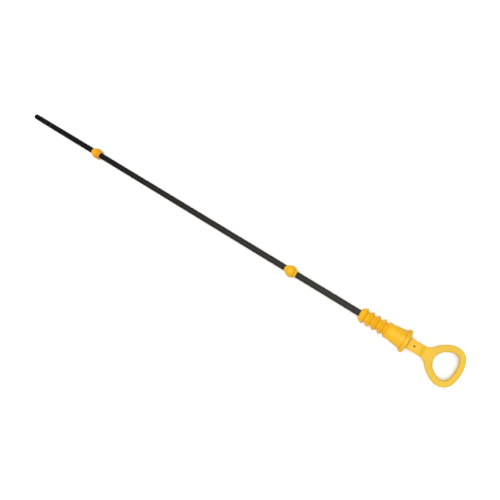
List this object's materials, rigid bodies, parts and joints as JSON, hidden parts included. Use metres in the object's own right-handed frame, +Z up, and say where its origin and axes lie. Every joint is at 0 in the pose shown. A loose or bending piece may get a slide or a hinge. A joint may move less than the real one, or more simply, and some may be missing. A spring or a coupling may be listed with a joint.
{
  "type": "engine oil dipstick",
  "caption": "Long thin dipstick: matte black rod with hatched level marks, moulded guide beads, a ribbed tapering plug with a flange, and a rounded finger ring.",
  "frame": {"origin": "centre of the bounding box's bottom, on the surface that the dipstick lies on", "axes": "+X along the dipstick from the tip to the finger ring, +Z up and through the ring's hole; the rod's axis rises 0.80 degrees towards the ring, because the dipstick rests on its lower bead and on the flange"},
  "size_m": [0.4412, 0.0312, 0.0183],
  "materials": {
    "rod_nylon": "black, rubbed dull, slightly oily near the tip",
    "handle_plastic": "yellow moulded plastic with a soft sheen",
    "bead_plastic": "yellow moulded plastic with a soft sheen"
  },
  "bodies": {
    "root": {"rod": "rod_nylon", "handle": "handle_plastic", "lower_bead": "bead_plastic", "upper_bead": "bead_plastic"}
  },
  "joints": []
}
